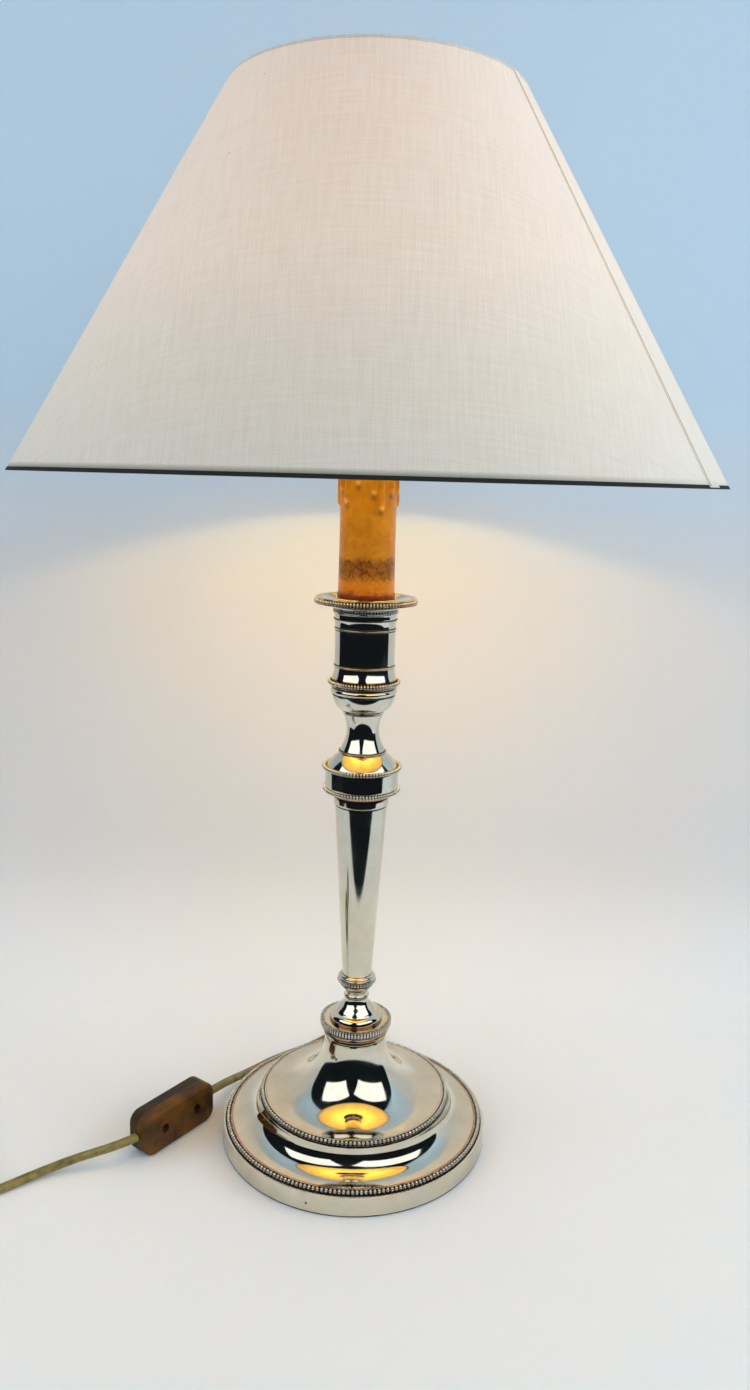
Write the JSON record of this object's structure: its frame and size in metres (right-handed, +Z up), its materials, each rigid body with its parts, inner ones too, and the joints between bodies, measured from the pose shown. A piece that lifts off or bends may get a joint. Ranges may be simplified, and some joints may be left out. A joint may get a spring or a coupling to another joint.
{
  "type": "candlestick lamp",
  "caption": "Table lamp with a turned, beaded candlestick stem, a dripping candle sleeve, a cone shade and a corded inline switch.",
  "frame": {"origin": "centre of the foot's underside, on the surface it stands on", "axes": "+Z up along the stem, -Y towards the side where the switch's screws show, +X to the right of that side"},
  "size_m": [0.4628, 0.35, 0.5483],
  "materials": {
    "silver_plate": "polished silver plate",
    "worn_plate": "polished silver plate worn to copper",
    "candle_resin": "glossy amber resin",
    "shade_fabric": "fine plain weave",
    "shade_lining": "matt laminate",
    "hem_tape": "woven tape",
    "white_wire": "gloss white enamel",
    "felt": "felt",
    "steel": "zinc plated",
    "iron": "as cast",
    "brass": "machined",
    "holder_plastic": "moulded",
    "insulator": "fired body",
    "bulb_glass": "clear",
    "nickel": "nickel plated",
    "flex": "smooth sheath",
    "switch_brown": "moulded, semi gloss",
    "bush_plastic": "moulded"
  },
  "bodies": {
    "lamp": {"foot": "silver_plate", "foot_outer_beads": "silver_plate", "foot_inner_beads": "silver_plate", "collar": "silver_plate", "collar_beads": "silver_plate", "pedestal": "silver_plate", "pedestal_beads": "silver_plate", "column": "silver_plate", "knop": "silver_plate", "knop_lower_beads": "silver_plate", "knop_upper_beads": "silver_plate", "neck": "silver_plate", "cup_bowl": "silver_plate", "cup_beads": "silver_plate", "cup_barrel": "silver_plate", "drip_pan": "silver_plate", "pan_beads": "silver_plate", "pan_lower_beads": "silver_plate", "column_seat": "worn_plate", "candle_sleeve": "candle_resin", "base_felt": "felt", "base_plate": "steel", "tie_nut": "steel", "tie_washer": "steel", "foot_weight": "iron", "tie_tube": "brass", "holder_contact": "brass", "terminal_screws": "brass", "holder_shell": "brass", "switch_terminals": "brass", "bulb_contact": "brass", "holder_base": "holder_plastic", "holder_body": "holder_plastic", "shade_ring_nut": "holder_plastic", "holder_insulator": "insulator", "bulb_insulator": "insulator", "bulb_glass": "bulb_glass", "bulb_filament": "bulb_glass", "bulb_cap": "nickel", "plug_pins": "nickel", "switch_screws": "nickel", "inner_flex": "flex", "cord_lamp": "flex", "cord_switch": "flex", "cord_coil": "flex", "switch_front": "switch_brown", "switch_back": "switch_brown", "plug_body": "switch_brown", "cord_bush": "bush_plastic"},
    "shade": {"shade_cover": "shade_fabric", "shade_liner": "shade_lining", "shade_hem_bottom": "hem_tape", "shade_hem_top": "hem_tape", "shade_bottom_ring": "white_wire", "shade_top_ring": "white_wire", "shade_fitter": "white_wire"},
    "rocker": {"switch_rocker": "switch_brown"}
  },
  "joints": [
    {"name": "shade_turn", "type": "hinge", "parent": "lamp", "child": "shade", "pos_m": [0, 0, 0.402], "axis": [0, 0, 1], "continuous": true},
    {"name": "rocker_press", "type": "hinge", "parent": "lamp", "child": "rocker", "pos_m": [-0.1059, -0.0067, 0.0121], "axis": [0, 0, 1], "range_deg": [-14, 0]}
  ]
}
